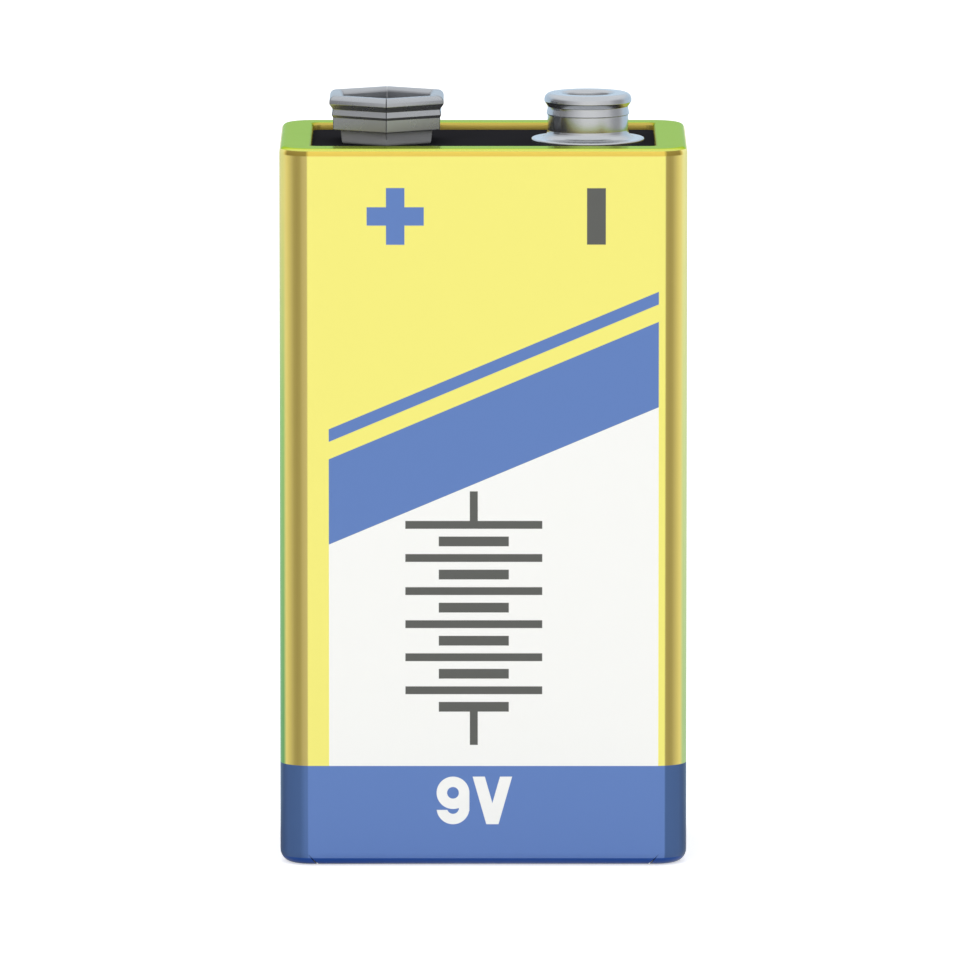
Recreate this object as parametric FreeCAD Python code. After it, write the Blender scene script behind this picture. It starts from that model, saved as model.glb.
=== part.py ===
import FreeCAD, Part
import math
import os

# Nine volt battery: six sealed 1.5 V cells in series inside a crimped, printed steel jacket, closed by a
# moulded board that carries a snap stud and a snap crown, and by a plate at the base.
# Millimetres, +Z up, origin in the middle of the base. The front faces -Y and the crown is on the -X side.

# Terminals: pressed sheet, each clamped to the board by a tubular rivet
terminal_pitch = 12.7
terminal_shift = 0.25
terminal_height = 3.1
terminal_sheet = 0.25

stud_head_diameter = 5.5
stud_undercut = 0.2
stud_flange_width = 1.025
stud_head_height = 0.54
stud_head_rounding = 0.3
stud_head_step = 0.3
stud_flare = 0.5
stud_dimple_clearance = 0.15
stud_dimple_depth = 0.7
stud_dimple_rounding = 0.25

# The crown grips a stud like the other one: the throat is a little under its head, the socket a little over it
crown_petals = 6
crown_grip = 0.06
crown_play = 0.16
crown_roll_width = 0.88
crown_skirt_tuck = 0.23
crown_base_inset = 0.82
crown_throat_height = 2.5
crown_bead_height = 2.6
crown_waist_height = 2.23
crown_band_height = 0.35
crown_band_step = 0.08
crown_joggle = 0.16
crown_skirt_clearance = 0.93
crown_slit = 0.12
crown_slit_floor = 0.45
crown_inner_bend = 0.06
crown_outer_bend = 0.15

rivet_shank_diameter = 1.9
rivet_bore_diameter = 1.1
rivet_head_diameter = 2.8
rivet_head_thickness = 0.3
rivet_flare_thickness = 0.25
rivet_head_taper = 0.12
rivet_clearance = 0.05

# Jacket: one steel sheet, lapped along the -X side and crimped over both ends
sheet = 0.25
case_height = 45.4
case_corner_radius = 2.0
rim_end_gap = 0.625
rim_front_gap = 2.343
top_lip_width = 2.0
top_bend_inside = 0.15
rim_corner_radius = 0.5
rim_rounding = 0.12
bottom_lip_width = 1.6
bottom_bend_inside = 0.55
bottom_corner_radius = 1.0
seam_gap = 0.15
seam_lap = 3.0
relief_width = 0.16
relief_rise = 0.75
relief_run = 0.7
relief_shift = 0.25

# Board and base plate
board_recess = 0.45
board_thickness = 1.0
board_skirt_thickness = 0.8
rivet_headroom = 0.25
base_plate_thickness = 1.0
case_clearance = 0.05

# Insulation round the cell pack
card_thickness = 0.4
wrap_thickness = 0.15
wrap_clearance = 0.03
wrap_seam_margin = 0.4

# Cells, two rows of three columns
cell_columns = 3
cell_rows = 2
cell_gap = 0.05
cell_cap_diameter = 3.8
cell_cap_rise = 0.3

# Nickel strip that joins the cells to each other and to the rivets
strip_thickness = 0.15
strap_width = 3.0
tab_width = 3.2
tab_riser_gap = 0.5
tab_window_margin = 0.3
tab_bend_inside = 0.15

# Sizes that follow from those above
stud_neck_diameter = stud_head_diameter - 2 * stud_undercut
stud_flange_diameter = stud_neck_diameter + 2 * stud_flange_width
stud_dimple_diameter = rivet_head_diameter + 2 * stud_dimple_clearance
crown_throat = stud_head_diameter - crown_grip
crown_socket = stud_head_diameter + crown_play
crown_width = crown_throat + 2 * crown_roll_width
crown_skirt_width = crown_width - 2 * crown_skirt_tuck
crown_base_width = crown_width - 2 * crown_base_inset
case_width = terminal_pitch + 2 * (terminal_shift + stud_flange_diameter / 2 + rim_end_gap + top_lip_width)
crown_corner_radius = crown_width / 2 / math.cos(math.pi / crown_petals)
case_depth = 2 * (crown_corner_radius + rim_front_gap + top_lip_width)
half_sheet = sheet / 2
inside_width = case_width - 2 * sheet
inside_depth = case_depth - 2 * sheet
inside_corner = case_corner_radius - sheet
fitted_width = inside_width - 2 * case_clearance
fitted_depth = inside_depth - 2 * case_clearance
fitted_corner = inside_corner - case_clearance
board_top = case_height - board_recess
board_bottom = board_top - board_thickness
tab_bottom = board_bottom - strip_thickness
rivet_bottom = tab_bottom - rivet_flare_thickness
top_card_top = rivet_bottom - rivet_headroom
top_card_bottom = top_card_top - card_thickness
cells_top = top_card_bottom - strip_thickness
base_plate_top = sheet + base_plate_thickness
bottom_card_top = base_plate_top + card_thickness
cells_bottom = bottom_card_top + strip_thickness
cell_length = cells_top - cells_bottom
pack_width = inside_width - 2 * (wrap_clearance + wrap_thickness)
pack_depth = inside_depth - 2 * (wrap_clearance + wrap_thickness)
cell_diameter = min(
    (pack_width - (cell_columns + 1) * cell_gap) / cell_columns,
    (pack_depth - (cell_rows + 1) * cell_gap) / cell_rows,
)
column_x = cell_diameter + cell_gap
row_y = (cell_diameter + cell_gap) / 2
crown_x = terminal_shift - terminal_pitch / 2
stud_x = terminal_shift + terminal_pitch / 2
rivet_hole_diameter = rivet_shank_diameter + 2 * rivet_clearance

# The series chain from the stud to the crown: each cell's place, and whether its positive end is up
cell_chain = [
    (column_x, -row_y, False),
    (column_x, row_y, True),
    (0.0, row_y, False),
    (0.0, -row_y, True),
    (-column_x, -row_y, False),
    (-column_x, row_y, True),
]

up = FreeCAD.Vector(0, 0, 1)
beyond = 5.0
tiny = 1e-6
bend_chords = 2
large_bend_chords = 3


def vector(x, y, z):
    return FreeCAD.Vector(x, y, z)


def cylinder(diameter, low, high, x=0.0):
    return Part.makeCylinder(diameter / 2, high - low, vector(x, 0, low))


def rounded_face(width, depth, corner, z):
    """A horizontal rectangle with round corners, centred on the Z axis."""
    x, y = width / 2, depth / 2
    mid = corner * (1 - math.sqrt(0.5))
    edges = []
    for sx, sy in ((1, -1), (1, 1), (-1, 1), (-1, -1)):
        # Each corner's arc runs anticlockwise, from one straight side to the next
        beside = vector(sx * x, sy * (y - corner), z)
        along = vector(sx * (x - corner), sy * y, z)
        middle = vector(sx * (x - mid), sy * (y - mid), z)
        start, end = (along, beside) if sx * sy < 0 else (beside, along)
        edges.append((start, middle, end))
    outline = []
    for i, (start, middle, end) in enumerate(edges):
        outline.append(Part.Arc(start, middle, end).toShape())
        following = edges[(i + 1) % len(edges)][0]
        outline.append(Part.LineSegment(end, following).toShape())
    return Part.Face(Part.Wire(outline))


def edges_at(shape, z):
    return [e for e in shape.Edges if all(abs(v.Z - z) < tiny for v in e.Vertexes)]


def rounded_block(width, depth, corner, low, high):
    return rounded_face(width, depth, corner, low).extrude(up * (high - low))


def edge_roll(radius, chords):
    """How far in and how far back from the end each point of a rolled edge lies, from the wall to the end."""
    angles = [math.pi / 2 * i / chords for i in range(chords + 1)]
    return [(radius * (1 - math.cos(a)), radius * (1 - math.sin(a))) for a in angles]


def rolled_block(width, depth, corner, low, high, low_roll, high_roll):
    """A block with round corners whose lower and upper edges roll in, each given as a list from edge_roll."""
    profile = [(inset, low + back) for inset, back in low_roll[::-1]]
    profile += [(inset, high - back) for inset, back in high_roll]
    layers = []
    for (inset, z), (next_inset, next_z) in zip(profile, profile[1:]):
        if next_z - z < tiny:
            continue
        rings = [
            rounded_face(width - 2 * i, depth - 2 * i, corner - i, level).OuterWire
            for i, level in ((inset, z), (next_inset, next_z))
        ]
        layers.append(Part.makeLoft(rings, True, True))
    return layers[0].multiFuse(layers[1:]).removeSplitter()


def rounded_corner(before, corner, after, radius, chords):
    """The points of an arc of the given radius that rounds a corner of an (across, z) outline, in equal chords."""
    before, corner, after = (vector(a, 0, z) for a, z in (before, corner, after))
    into = (corner - before).normalize()
    out = (after - corner).normalize()
    turn = into.getAngle(out)
    inwards = (out - into).normalize()
    ahead = (into + out).normalize()
    centre = corner + inwards * (radius / math.cos(turn / 2))
    points = []
    for i in range(chords + 1):
        swing = turn * (i / chords - 0.5)
        place = centre - inwards * (radius * math.cos(swing)) + ahead * (radius * math.sin(swing))
        points.append((place.x, place.z))
    return points


def outline_face(points):
    places = [vector(a, 0, z) for a, z in points]
    return Part.Face(Part.makePolygon(places + places[:1]))


def side_of(points, distance):
    """The points of a path moved sideways by a distance, to the left of the way it runs."""
    moved = []
    for i, (a, z) in enumerate(points):
        ways = []
        for j, k in ((i - 1, i), (i, i + 1)):
            if j >= 0 and k < len(points):
                da, dz = points[k][0] - points[j][0], points[k][1] - points[j][1]
                length = math.hypot(da, dz)
                ways.append((-dz / length, da / length))
        na, nz = sum(w[0] for w in ways), sum(w[1] for w in ways)
        share = distance / (na * ways[0][0] + nz * ways[0][1])
        moved.append((a + na * share, z + nz * share))
    return moved


def left_turn(before, corner, after):
    ahead = (corner[0] - before[0], corner[1] - before[1])
    then = (after[0] - corner[0], after[1] - corner[1])
    return ahead[0] * then[1] - ahead[1] * then[0] > 0


def bent_sheet_face(points, inside_radii, thickness, chords):
    """The section of a bent sheet: a centreline through points, with each bend's radius on its inside."""
    sides = []
    for distance in (thickness / 2, -thickness / 2):
        moved = side_of(points, distance)
        side = moved[:1]
        for before, corner, after, inside in zip(moved, moved[1:], moved[2:], inside_radii):
            on_inside = left_turn(before, corner, after) == (distance > 0)
            radius = inside if on_inside else inside + thickness
            side += rounded_corner(before, corner, after, radius, chords) if inside > 0 else [corner]
        sides.append(side + moved[-1:])
    return outline_face(sides[0] + sides[1][::-1])


def turned(corners, x=0.0, base=0.0):
    """A solid of revolution about an upright axis, from (radius, z) or (radius, z, rounding, chords) corners."""
    points = []
    for i, corner in enumerate(corners):
        if len(corner) == 2:
            points.append(corner)
        else:
            before, after = corners[i - 1], corners[(i + 1) % len(corners)]
            points += rounded_corner(before[:2], corner[:2], after[:2], *corner[2:])
    solid = outline_face(points).revolve(vector(0, 0, 0), up, 360)
    solid.translate(vector(x, 0, base))
    return solid


def make_jacket():
    """The steel tube with both ends folded in, and the hem that the top lip turns down onto the board."""
    outer = rolled_block(
        case_width, case_depth, case_corner_radius, 0, case_height,
        edge_roll(bottom_bend_inside + sheet, large_bend_chords), edge_roll(top_bend_inside + sheet, bend_chords)
    )
    inner = rolled_block(
        inside_width, inside_depth, inside_corner, sheet, case_height - sheet,
        edge_roll(bottom_bend_inside, bend_chords), edge_roll(top_bend_inside, 1)
    )
    rim_width, rim_depth = case_width - 2 * top_lip_width, case_depth - 2 * top_lip_width
    hem = rounded_block(
        rim_width + 2 * sheet, rim_depth + 2 * sheet, rim_corner_radius + sheet, board_top, case_height - half_sheet
    )
    rim = rounded_block(rim_width, rim_depth, rim_corner_radius, board_top - beyond, case_height + beyond)
    foot = rounded_block(
        case_width - 2 * bottom_lip_width, case_depth - 2 * bottom_lip_width, bottom_corner_radius, -beyond, 2 * sheet
    )
    shell = outer.cut(inner).fuse(hem).cut(rim).cut(foot).removeSplitter()
    rim_edges = [
        e for e in edges_at(shell, case_height)
        if e.BoundBox.XMax < rim_width / 2 + tiny and e.BoundBox.XMin > -rim_width / 2 - tiny
        and e.BoundBox.YMax < rim_depth / 2 + tiny and e.BoundBox.YMin > -rim_depth / 2 - tiny
    ]
    shell = shell.makeChamfer(rim_rounding, rim_edges)
    shell = shell.cut(make_seam_slit()).fuse(make_seam_lap())
    for relief in make_reliefs():
        shell = shell.cut(relief)
    return shell.removeSplitter()


def make_seam_slit():
    """The hairline where the two edges of the sheet meet, down the -X side and across both lips."""
    reach = max(top_lip_width, bottom_lip_width) + beyond
    corner = vector(-case_width / 2 - beyond, -seam_gap / 2, -beyond)
    return Part.makeBox(reach + sheet, seam_gap, case_height + 2 * beyond, corner)


def make_seam_lap():
    """The strip of sheet that laps behind the slit, between the two insulating cards and rooted in the wall."""
    corner = vector(-inside_width / 2 - half_sheet, -seam_lap / 2, bottom_card_top + case_clearance)
    lap_height = top_card_bottom - bottom_card_top - 2 * case_clearance
    lap = Part.makeBox(half_sheet + sheet, seam_lap, lap_height, corner)
    slit_side = vector(-case_width / 2, -seam_gap / 2, 0)
    return lap.cut(Part.makeBox(sheet, seam_gap, case_height, slit_side))


def make_reliefs():
    """Slanting slits, pointed at the top, at the corners of the bottom crimp: they let the sheet fold there."""
    cuts = []
    for across, along in ((case_width, case_depth), (case_depth, case_width)):
        side = across / 2 - case_corner_radius + relief_shift
        outline = [
            (side, relief_rise),
            (side - relief_run, -tiny),
            (side - relief_run, -beyond),
            (side - relief_run + relief_width, -beyond),
            (side - relief_run + relief_width, 0),
        ]
        reach = bottom_lip_width + beyond / 2
        for mirror in (1, -1):
            points = [vector(mirror * a, -along / 2 - beyond / 2, z) for a, z in outline]
            slit = Part.Face(Part.makePolygon(points + points[:1])).extrude(vector(0, reach + tiny, 0))
            for turn in (0, 180):
                cut = slit.copy()
                cut.rotate(vector(0, 0, 0), up, turn if across == case_width else turn + 90)
                cuts.append(cut)
    return cuts


def make_board():
    """The moulded board: a plate with the two rivet holes, and a skirt below it that stands on the top card."""
    board = rounded_block(fitted_width, fitted_depth, fitted_corner, top_card_top, board_top)
    hollow = rounded_block(
        fitted_width - 2 * board_skirt_thickness, fitted_depth - 2 * board_skirt_thickness,
        max(fitted_corner - board_skirt_thickness, rim_corner_radius), top_card_top - beyond, board_bottom
    )
    board = board.cut(hollow)
    for x in (crown_x, stud_x):
        board = board.cut(cylinder(rivet_hole_diameter, board_bottom - beyond, board_top + beyond, x))
    return board


def make_stud():
    """The male snap, drawn from one disc: flange, neck, rounded head and a dimple that holds the rivet."""
    t = terminal_sheet
    flange, neck, head = stud_flange_diameter / 2, stud_neck_diameter / 2, stud_head_diameter / 2
    dimple, hole = stud_dimple_diameter / 2, rivet_hole_diameter / 2
    top = terminal_height
    floor = top - stud_dimple_depth
    under_head = top - stud_head_height
    return turned([
        (flange, 0),
        (flange, t),
        (neck, t, stud_flare, bend_chords),
        (neck, under_head - stud_head_step),
        (head, under_head),
        (head, top, stud_head_rounding, large_bend_chords),
        (dimple, top, stud_dimple_rounding, 1),
        (dimple, floor),
        (hole, floor),
        (hole, floor - t),
        (dimple + t, floor - t),
        (dimple + t, top - t),
        (neck - t, top - t),
        (neck - t, 0),
    ], stud_x, board_top)


def make_crown():
    """The female snap: a floor and six sprung petals, each drawn up, rolled out over the top and down as a skirt
    that joggles in below a narrow band."""
    half = terminal_sheet / 2
    base = crown_base_width / 2 - half
    socket = crown_socket / 2 + half
    throat = crown_throat / 2 + half
    bead = crown_width / 2 - half
    skirt = crown_skirt_width / 2 - half
    band = skirt + crown_band_step
    band_bottom = crown_waist_height - crown_band_height
    top = terminal_height - half
    path = [
        (0, half),
        (base, half),
        (socket, crown_waist_height),
        (throat, crown_throat_height),
        (throat, top),
        (bead, top),
        (bead, crown_bead_height),
        (band, crown_waist_height),
        (band, band_bottom),
        (skirt, band_bottom - crown_joggle),
        (skirt, crown_skirt_clearance),
    ]
    bends = [0, 0, 0, crown_inner_bend, crown_outer_bend, 0, 0, 0, 0]
    section = bent_sheet_face(path, bends, terminal_sheet, large_bend_chords)
    reach = 2 * crown_corner_radius
    side = reach * math.tan(math.pi / crown_petals)
    wedge_corners = [vector(0, 0, -beyond), vector(reach, -side, -beyond), vector(reach, side, -beyond)]
    wedge = Part.Face(Part.makePolygon(wedge_corners + wedge_corners[:1])).extrude(up * (3 * beyond))
    bar = section.extrude(vector(0, 2 * side, 0))
    bar.translate(vector(0, -side, 0))
    petal = bar.common(wedge)
    slit = Part.makeBox(reach, crown_slit, terminal_height, vector(0, -crown_slit / 2, crown_slit_floor))
    slit.rotate(vector(0, 0, 0), up, 180 / crown_petals)
    petals, slits = [], []
    for i in range(crown_petals):
        for piece, pieces in ((petal, petals), (slit, slits)):
            turned_piece = piece.copy()
            turned_piece.rotate(vector(0, 0, 0), up, 360 * i / crown_petals)
            pieces.append(turned_piece)
    crown = petals[0].multiFuse(petals[1:]).cut(Part.makeCompound(slits))
    crown = crown.cut(cylinder(rivet_hole_diameter, -beyond, beyond)).removeSplitter()
    crown.translate(vector(crown_x, 0, board_top))
    return crown


def make_rivet(x, seat):
    """A tubular rivet: its head on the snap at the given height, and its end flared out under the tab."""
    bore, shank, head = rivet_bore_diameter / 2, rivet_shank_diameter / 2, rivet_head_diameter / 2
    return turned([
        (bore, rivet_bottom),
        (head, rivet_bottom),
        (head, tab_bottom),
        (shank, tab_bottom),
        (shank, seat),
        (head, seat),
        (head - rivet_head_taper, seat + rivet_head_thickness),
        (bore, seat + rivet_head_thickness),
    ], x)


def tab_route(rivet_x, cell_x, cell_y):
    """The angle and the length of a tab's run, from its rivet to the middle of its cell."""
    dx, dy = cell_x - rivet_x, cell_y
    return math.degrees(math.atan2(dy, dx)), math.hypot(dx, dy)


def tab_riser():
    return rivet_head_diameter / 2 + tab_riser_gap


def make_tab(rivet_x, cell_x, cell_y):
    """A bent strip: its holed end round the rivet under the board, a riser through the card, a foot on the cell."""
    angle, length = tab_route(rivet_x, cell_x, cell_y)
    high, low = board_bottom - strip_thickness / 2, cells_top + strip_thickness / 2
    riser = tab_riser()
    path = [(-tab_width / 2, high), (riser, high), (riser, low), (length + tab_width / 2, low)]
    tab = bent_sheet_face(path, [tab_bend_inside, tab_bend_inside], strip_thickness, bend_chords)
    tab = tab.extrude(vector(0, tab_width, 0))
    tab.translate(vector(0, -tab_width / 2, 0))
    tab = tab.cut(cylinder(rivet_hole_diameter, tab_bottom - beyond, board_bottom + beyond))
    tab.rotate(vector(0, 0, 0), up, angle)
    tab.translate(vector(rivet_x, 0, 0))
    return tab


def card(low, high):
    return rounded_block(fitted_width, fitted_depth, fitted_corner, low, high)


def make_top_insulator():
    """The upper card, with a window where each tab passes down to its cell."""
    plate = card(top_card_bottom, top_card_top)
    window_length = strip_thickness + 2 * (tab_bend_inside + strip_thickness + tab_window_margin)
    window_width = tab_width + 2 * tab_window_margin
    for rivet_x, (cell_x, cell_y, _) in ((stud_x, cell_chain[0]), (crown_x, cell_chain[-1])):
        angle, _ = tab_route(rivet_x, cell_x, cell_y)
        corner = vector(tab_riser() - window_length / 2, -window_width / 2, top_card_bottom - beyond)
        window = Part.makeBox(window_length, window_width, card_thickness + 2 * beyond, corner)
        window.rotate(vector(0, 0, 0), up, angle)
        window.translate(vector(rivet_x, 0, 0))
        plate = plate.cut(window)
    return plate


def make_base_plate():
    return rolled_block(
        fitted_width, fitted_depth, fitted_corner, sheet, base_plate_top, edge_roll(bottom_bend_inside, 1), [(0, 0)]
    )


def make_inner_wrap():
    """A sheet bent round the cell pack against the jacket, open where the jacket's seam laps."""
    outside_width, outside_depth = inside_width - 2 * wrap_clearance, inside_depth - 2 * wrap_clearance
    corner = inside_corner - wrap_clearance
    outer = rounded_block(outside_width, outside_depth, corner, bottom_card_top, top_card_bottom)
    inner = rounded_block(
        pack_width, pack_depth, corner - wrap_thickness, bottom_card_top - beyond, top_card_bottom + beyond
    )
    open_width = seam_lap + 2 * wrap_seam_margin
    opening = Part.makeBox(
        inside_corner, open_width, case_height, vector(-inside_width / 2, -open_width / 2, 0)
    )
    return outer.cut(inner).cut(opening)


def make_strap(first, second, low):
    """A strip from the middle of one cell to the middle of the next, welded on over its whole width."""
    (x1, y1, _), (x2, y2, _) = first, second
    run = math.hypot(x2 - x1, y2 - y1)
    strap = Part.makeBox(
        run + strap_width, strap_width, strip_thickness, vector(-strap_width / 2, -strap_width / 2, low)
    )
    strap.rotate(vector(0, 0, 0), up, math.degrees(math.atan2(y2 - y1, x2 - x1)))
    strap.translate(vector(x1, y1, 0))
    return strap


def make_cell():
    """A sealed cell: the can's flat floor is its positive end, up, and the raised cap is its negative end."""
    can, cap = cell_diameter / 2, cell_cap_diameter / 2
    return turned([
        (0, 0),
        (cap, 0),
        (cap, cell_cap_rise),
        (can, cell_cap_rise),
        (can, cell_length),
        (0, cell_length),
    ])


def place_cell(cell, x, y, positive_up):
    placed = cell.copy()
    if not positive_up:
        placed.rotate(vector(0, 0, cell_length / 2), vector(1, 0, 0), 180)
    placed.translate(vector(x, y, cells_bottom))
    return placed


def make_parts():
    parts = {
        "jacket": make_jacket(),
        "terminal_board": make_board(),
        "snap_crown": make_crown(),
        "snap_stud": make_stud(),
        "crown_rivet": make_rivet(crown_x, board_top + terminal_sheet),
        "stud_rivet": make_rivet(stud_x, board_top + terminal_height - stud_dimple_depth),
        "crown_tab": make_tab(crown_x, *cell_chain[-1][:2]),
        "stud_tab": make_tab(stud_x, *cell_chain[0][:2]),
        "top_insulator": make_top_insulator(),
        "bottom_insulator": card(base_plate_top, bottom_card_top),
        "base_plate": make_base_plate(),
        "inner_wrap": make_inner_wrap(),
    }
    for i in range(len(cell_chain) - 1):
        joint, number = ("bottom_strap", i // 2 + 1) if i % 2 == 0 else ("top_strap", i // 2 + 1)
        low = bottom_card_top if i % 2 == 0 else cells_top
        parts[f"{joint}_{number}"] = make_strap(cell_chain[i], cell_chain[i + 1], low)
    cell = make_cell()
    for i, (x, y, positive_up) in enumerate(cell_chain):
        parts[f"cell_{i + 1}"] = place_cell(cell, x, y, positive_up)
    return parts


os.makedirs("parts", exist_ok=True)
for name, shape in make_parts().items():
    shape.exportStep(f"parts/{name}.step")
    print(name, len(shape.Solids), shape.isValid(), round(shape.Volume, 2))
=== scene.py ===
import math

import bmesh
import bpy
from mathutils import Matrix, Vector


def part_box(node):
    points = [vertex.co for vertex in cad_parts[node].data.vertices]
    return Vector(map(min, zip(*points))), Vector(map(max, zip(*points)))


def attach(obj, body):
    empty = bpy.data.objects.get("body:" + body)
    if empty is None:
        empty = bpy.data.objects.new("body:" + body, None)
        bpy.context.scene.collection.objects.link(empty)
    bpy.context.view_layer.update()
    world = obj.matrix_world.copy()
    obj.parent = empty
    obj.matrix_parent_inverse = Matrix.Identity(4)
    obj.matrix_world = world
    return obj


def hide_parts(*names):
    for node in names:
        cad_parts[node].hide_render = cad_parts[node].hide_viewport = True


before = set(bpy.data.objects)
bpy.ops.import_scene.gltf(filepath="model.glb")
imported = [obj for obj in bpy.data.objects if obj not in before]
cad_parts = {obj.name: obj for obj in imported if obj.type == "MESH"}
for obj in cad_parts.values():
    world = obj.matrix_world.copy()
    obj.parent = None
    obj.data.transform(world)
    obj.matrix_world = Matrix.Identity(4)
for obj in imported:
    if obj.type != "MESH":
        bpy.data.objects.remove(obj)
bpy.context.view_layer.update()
print("frame loaded:", len(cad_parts), "nodes")

mm = 0.001


# the camera
shot = {
    "distance": 936 * mm,      # from the middle of the battery
    "elevation": 7.76,         # degrees above level
    "lookAt": (-0.21 * mm, 0, 23.36 * mm),
    "lens": 554.2,             # with a sensor 36 mm wide
}


def placeCamera():
    data = bpy.data.cameras.new("camera")
    data.lens = shot["lens"]
    data.clip_start = 0.01
    camera = bpy.data.objects.new("camera", data)
    bpy.context.collection.objects.link(camera)
    rise = math.radians(shot["elevation"])
    away = Vector((0, -math.cos(rise), math.sin(rise))) * shot["distance"]
    camera.location = Vector(shot["lookAt"]) + away
    camera.rotation_euler = (-away).to_track_quat("-Z", "Y").to_euler()
    bpy.context.scene.camera = camera


placeCamera()


# shader maths: expressions on Flow values add Math nodes
class Flow:
    def __init__(self, tree, socket):
        self.tree = tree
        self.socket = socket

    def math(self, operation, *values, clamp=False):
        settings = {"operation": operation, "use_clamp": clamp}
        return Flow(self.tree, addNode(self.tree, "ShaderNodeMath", *values, settings=settings).outputs[0])

    def __add__(self, other):
        return self.math("ADD", self, other)

    def __radd__(self, other):
        return self.math("ADD", other, self)

    def __sub__(self, other):
        return self.math("SUBTRACT", self, other)

    def __rsub__(self, other):
        return self.math("SUBTRACT", other, self)

    def __mul__(self, other):
        return self.math("MULTIPLY", self, other)

    def __rmul__(self, other):
        return self.math("MULTIPLY", other, self)

    def __truediv__(self, other):
        return self.math("DIVIDE", self, other)

    def __rtruediv__(self, other):
        return self.math("DIVIDE", other, self)

    def __abs__(self):
        return self.math("ABSOLUTE", self)

    def sign(self):
        return self.math("SIGN", self)

    def root(self):
        return self.math("SQRT", self)

    def clamped(self):
        return self.math("ADD", self, 0.0, clamp=True)

    def most(self, other):
        return self.math("MAXIMUM", self, other)

    def wrapped(self, period):
        return self.math("FLOORED_MODULO", self, period)


def feed(tree, place, value):
    # a link or a fixed value; a colour is written with three levels
    if isinstance(value, Flow):
        value = value.socket
    if isinstance(value, bpy.types.NodeSocket):
        tree.links.new(value, place)
    elif place.type == "RGBA":
        place.default_value = (*value, 1)
    else:
        place.default_value = value


def addNode(tree, kind, *values, settings=None, **named):
    # any node: its type, the values or links of its sockets in their order or by name, and its settings
    node = tree.nodes.new(kind)
    for key, value in (settings or {}).items():
        setattr(node, key, value)
    for place, value in zip(node.inputs, values):
        feed(tree, place, value)
    for key, value in named.items():
        feed(tree, node.inputs[key.replace("_", " ")], value)
    return node


def mixed(tree, factor, first, second):
    node = addNode(tree, "ShaderNodeMix", settings={"data_type": "RGBA"})
    for socket, value in ((0, factor), (6, first), (7, second)):
        feed(tree, node.inputs[socket], value)
    return Flow(tree, node.outputs[2])


def ramp(tree, value, stops):
    node = addNode(tree, "ShaderNodeValToRGB", value)
    elements = node.color_ramp.elements
    elements[0].position, elements[1].position = stops[0][0], stops[-1][0]
    for place, colour in stops[1:-1]:
        elements.new(place)
    for element, (place, colour) in zip(elements, stops):
        element.color = (*colour, 1)
    return Flow(tree, node.outputs[0])


class Finish:
    def __init__(self, name):
        self.material = bpy.data.materials.new(name)
        self.material.use_nodes = True
        self.tree = self.material.node_tree
        self.shader = self.tree.nodes["Principled BSDF"]

    def mix(self, factor, first, second):
        return mixed(self.tree, factor, first, second)

    def ramp(self, value, stops):
        return ramp(self.tree, value, stops)

    def place(self):
        return addNode(self.tree, "ShaderNodeTexCoord").outputs["Object"]

    def millimetres(self):
        split = addNode(self.tree, "ShaderNodeSeparateXYZ", self.place())
        return [Flow(self.tree, output) * 1000 for output in split.outputs]

    def noise(self, scale, detail):
        node = addNode(self.tree, "ShaderNodeTexNoise", Vector=self.place(), Scale=scale, Detail=detail)
        return Flow(self.tree, node.outputs[0])

    def bump(self, height, strength, distance):
        node = addNode(self.tree, "ShaderNodeBump", Strength=strength, Distance=distance, Height=height)
        return node.outputs[0]

    def surface(self, **sockets):
        for key, value in sockets.items():
            feed(self.tree, self.shader.inputs[key.replace("_", " ")], value)
        return self.material


def fromScreen(*levels):
    # levels from 0 to 255, as a screen shows them, to the linear ones that shaders take
    return tuple((v / 255 / 12.92) if v <= 10 else ((v / 255 + 0.055) / 1.055) ** 2.4 for v in levels)


# masks are 1 inside and 0 outside, with a soft printed edge in millimetres
edgeSoftness = 0.03


def above(value, level, softness=edgeSoftness):
    return ((value - level) / softness + 0.5).clamped()


def inside(value, low, high, softness=edgeSoftness):
    return above(value, low, softness) * (1 - above(value, high, softness))


def box(across, up, middle, size):
    x, z = middle
    width, height = size
    return inside(across, x - width / 2, x + width / 2) * inside(up, z - height / 2, z + height / 2)


# meshes
def addObject(name, mesh, material=None):
    obj = bpy.data.objects.new(name, mesh)
    bpy.context.collection.objects.link(obj)
    if material:
        mesh.materials.append(material)
    return obj


def plainMesh(name, points, faces):
    mesh = bpy.data.meshes.new(name)
    mesh.from_pydata([Vector(p) * mm for p in points], [], faces)
    return mesh


def smoothMesh(name, points, faces):
    mesh = plainMesh(name, points, faces)
    mesh.validate()
    smoothOver(mesh)
    return mesh


def smoothOver(mesh, sharpAngle=30):
    mesh.shade_smooth()
    mesh.set_sharp_from_angle(angle=math.radians(sharpAngle))


def applied(obj, sharpAngle=30):
    # the evaluated object becomes a plain mesh and its modifiers go
    bpy.context.view_layer.update()
    result = bpy.data.meshes.new_from_object(obj.evaluated_get(bpy.context.evaluated_depsgraph_get()))
    obj.modifiers.clear()
    obj.data = result
    if sharpAngle:
        smoothOver(result, sharpAngle)


def arcPoints(corner, before, after, radius, steps):
    # the rounded corner between two straight runs, as points in the plane
    corner, before, after = Vector(corner), Vector(before), Vector(after)
    into = (corner - before).normalized()
    out = (after - corner).normalized()
    turn = into.angle(out)
    inwards = (out - into).normalized()
    ahead = (into + out).normalized()
    centre = corner + inwards * (radius / math.cos(turn / 2))
    points = []
    for i in range(steps + 1):
        swing = turn * (i / steps - 0.5)
        back, along = radius * math.cos(swing), radius * math.sin(swing)
        points.append(tuple(centre - inwards * back + ahead * along))
    return points


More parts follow.
